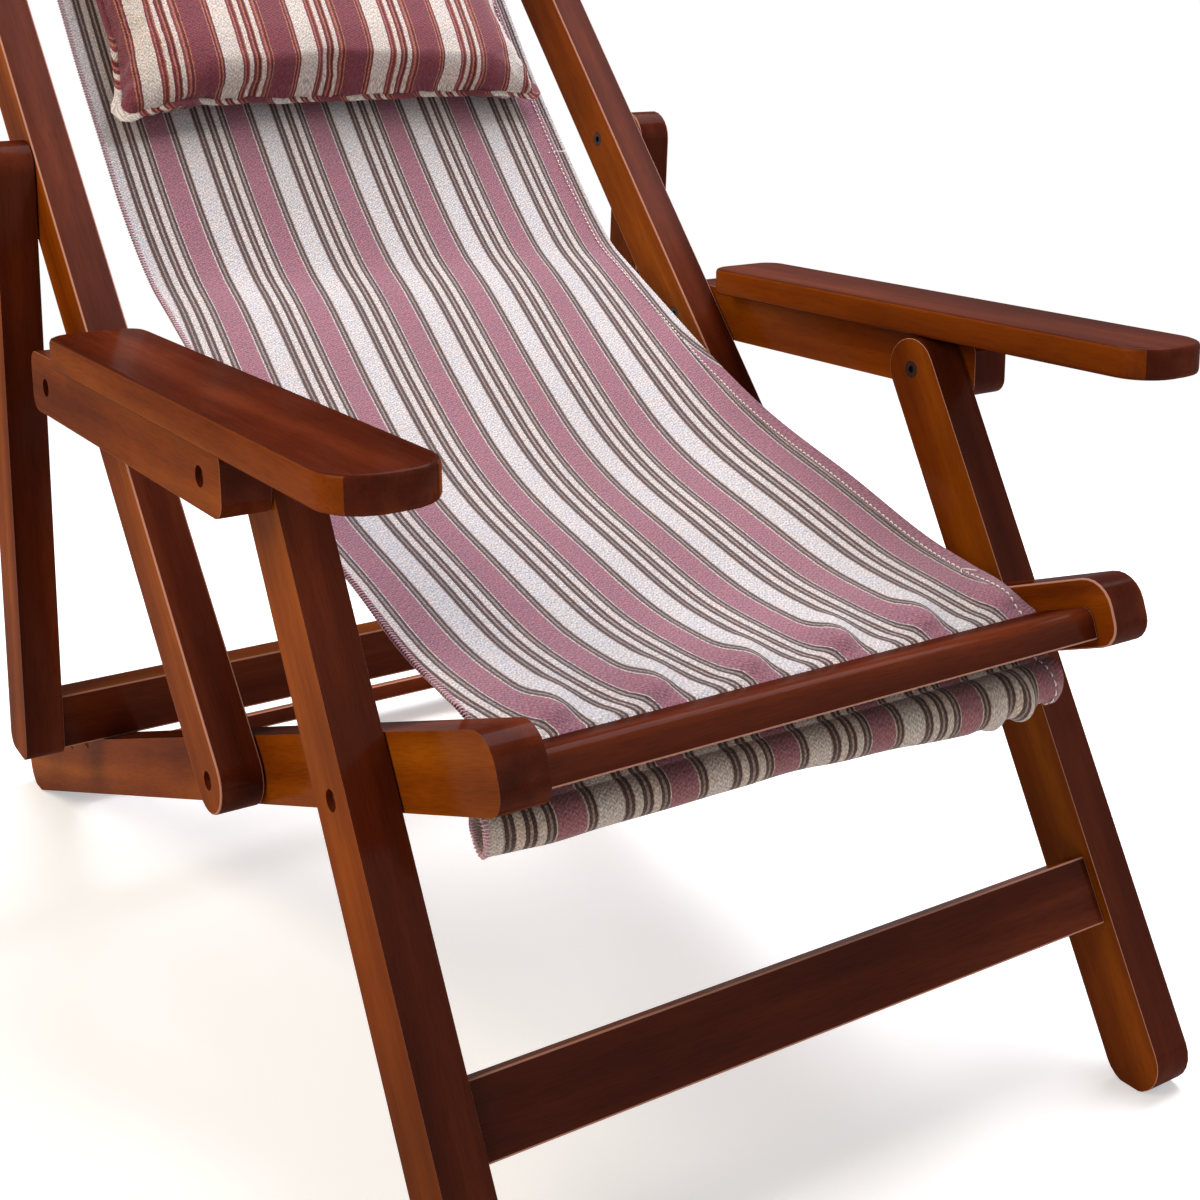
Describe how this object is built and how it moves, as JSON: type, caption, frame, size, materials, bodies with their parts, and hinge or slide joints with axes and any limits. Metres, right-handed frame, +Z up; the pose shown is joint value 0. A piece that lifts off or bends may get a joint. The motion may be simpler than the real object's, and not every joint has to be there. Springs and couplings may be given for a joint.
{
  "type": "steamer deck chair",
  "caption": "Folding hardwood deck chair with armrests, a prop frame behind the back, a striped canvas sling held on rods, and a head cushion on straps.",
  "frame": {"origin": "on the floor, midway between the frontmost and rearmost points, on the middle plane", "axes": "+Z up, +Y to the back, +X to the sitter's left; the sitter faces -Y"},
  "size_m": [0.618, 0.919, 0.8705],
  "materials": {
    "varnished_hardwood": "gloss varnish over a mahogany stain",
    "plain_hardwood": "bare turned hardwood",
    "coppered_steel": "copper-coloured plating",
    "dark_steel": "blackened steel",
    "plated_steel": "zinc plated",
    "striped_canvas": "woven canvas with mauve, cream and brown stripes",
    "cushion_canvas": "woven canvas with burgundy, copper and cream stripes"
  },
  "bodies": {
    "seat_frame": {"left_seat_rail": "varnished_hardwood", "right_seat_rail": "varnished_hardwood", "front_crossbar": "varnished_hardwood", "sling_bar": "varnished_hardwood", "rear_crossbar": "varnished_hardwood", "seat_dowel": "plain_hardwood", "sling": "striped_canvas", "left_seat_back_bolt": "coppered_steel", "right_seat_back_bolt": "coppered_steel", "left_seat_back_nut": "dark_steel", "right_seat_back_nut": "dark_steel", "left_seat_back_washer": "plated_steel", "right_seat_back_washer": "plated_steel", "left_seat_leg_bolt": "coppered_steel", "right_seat_leg_bolt": "coppered_steel", "left_seat_leg_nut": "dark_steel", "right_seat_leg_nut": "dark_steel", "left_seat_leg_washer": "plated_steel", "right_seat_leg_washer": "plated_steel"},
    "back_frame": {"left_back_rail": "varnished_hardwood", "right_back_rail": "varnished_hardwood", "top_crossbar": "varnished_hardwood", "top_sling_bar": "varnished_hardwood", "top_dowel": "plain_hardwood", "head_cushion": "cushion_canvas", "left_cushion_strap": "cushion_canvas", "right_cushion_strap": "cushion_canvas", "left_back_arm_nut": "dark_steel", "right_back_arm_nut": "dark_steel", "left_back_prop_bolt": "coppered_steel", "right_back_prop_bolt": "coppered_steel", "left_back_prop_nut": "dark_steel", "right_back_prop_nut": "dark_steel", "left_back_prop_washer": "plated_steel", "right_back_prop_washer": "plated_steel"},
    "prop_frame": {"left_prop": "varnished_hardwood", "right_prop": "varnished_hardwood", "prop_crossbar": "varnished_hardwood"},
    "leg_frame": {"left_leg": "varnished_hardwood", "right_leg": "varnished_hardwood", "leg_stretcher": "varnished_hardwood", "left_leg_arm_bolt": "coppered_steel", "right_leg_arm_bolt": "coppered_steel", "left_leg_arm_nut": "dark_steel", "right_leg_arm_nut": "dark_steel", "left_leg_arm_washer": "plated_steel", "right_leg_arm_washer": "plated_steel"},
    "left_arm": {"left_arm_support": "varnished_hardwood", "left_armrest": "varnished_hardwood", "left_front_armrest_screw": "plated_steel", "left_rear_armrest_screw": "plated_steel", "left_back_arm_bolt": "coppered_steel", "left_back_arm_washer": "plated_steel"},
    "right_arm": {"right_arm_support": "varnished_hardwood", "right_armrest": "varnished_hardwood", "right_front_armrest_screw": "plated_steel", "right_rear_armrest_screw": "plated_steel", "right_back_arm_bolt": "coppered_steel", "right_back_arm_washer": "plated_steel"}
  },
  "joints": [
    {"name": "back_fold", "type": "hinge", "parent": "seat_frame", "child": "back_frame", "pos_m": [0, -0.10141, 0.217], "axis": [-1, 0, 0], "range_deg": [0, 37], "deforming": ["sling"]},
    {"name": "leg_fold", "type": "hinge", "parent": "seat_frame", "child": "leg_frame", "pos_m": [0, -0.29585, 0.27872], "axis": [-1, 0, 0], "range_deg": [0, 52]},
    {"name": "left_arm_fold", "type": "hinge", "parent": "leg_frame", "child": "left_arm", "pos_m": [0.283, -0.20336, 0.44755], "axis": [1, 0, 0], "range_deg": [0, 46]},
    {"name": "right_arm_fold", "type": "hinge", "parent": "leg_frame", "child": "right_arm", "pos_m": [-0.283, -0.20336, 0.44755], "axis": [1, 0, 0], "range_deg": [0, 46]},
    {"name": "prop_swing", "type": "hinge", "parent": "back_frame", "child": "prop_frame", "pos_m": [0, 0.21164, 0.58613], "axis": [1, 0, 0], "range_deg": [0, 130]}
  ],
  "couplings": [
    {"joint": "leg_fold", "follows": "back_fold", "ratio": 1.3807},
    {"joint": "left_arm_fold", "follows": "back_fold", "ratio": 1.2197},
    {"joint": "right_arm_fold", "follows": "back_fold", "ratio": 1.2197},
    {"joint": "prop_swing", "follows": "back_fold", "ratio": 3.5}
  ]
}
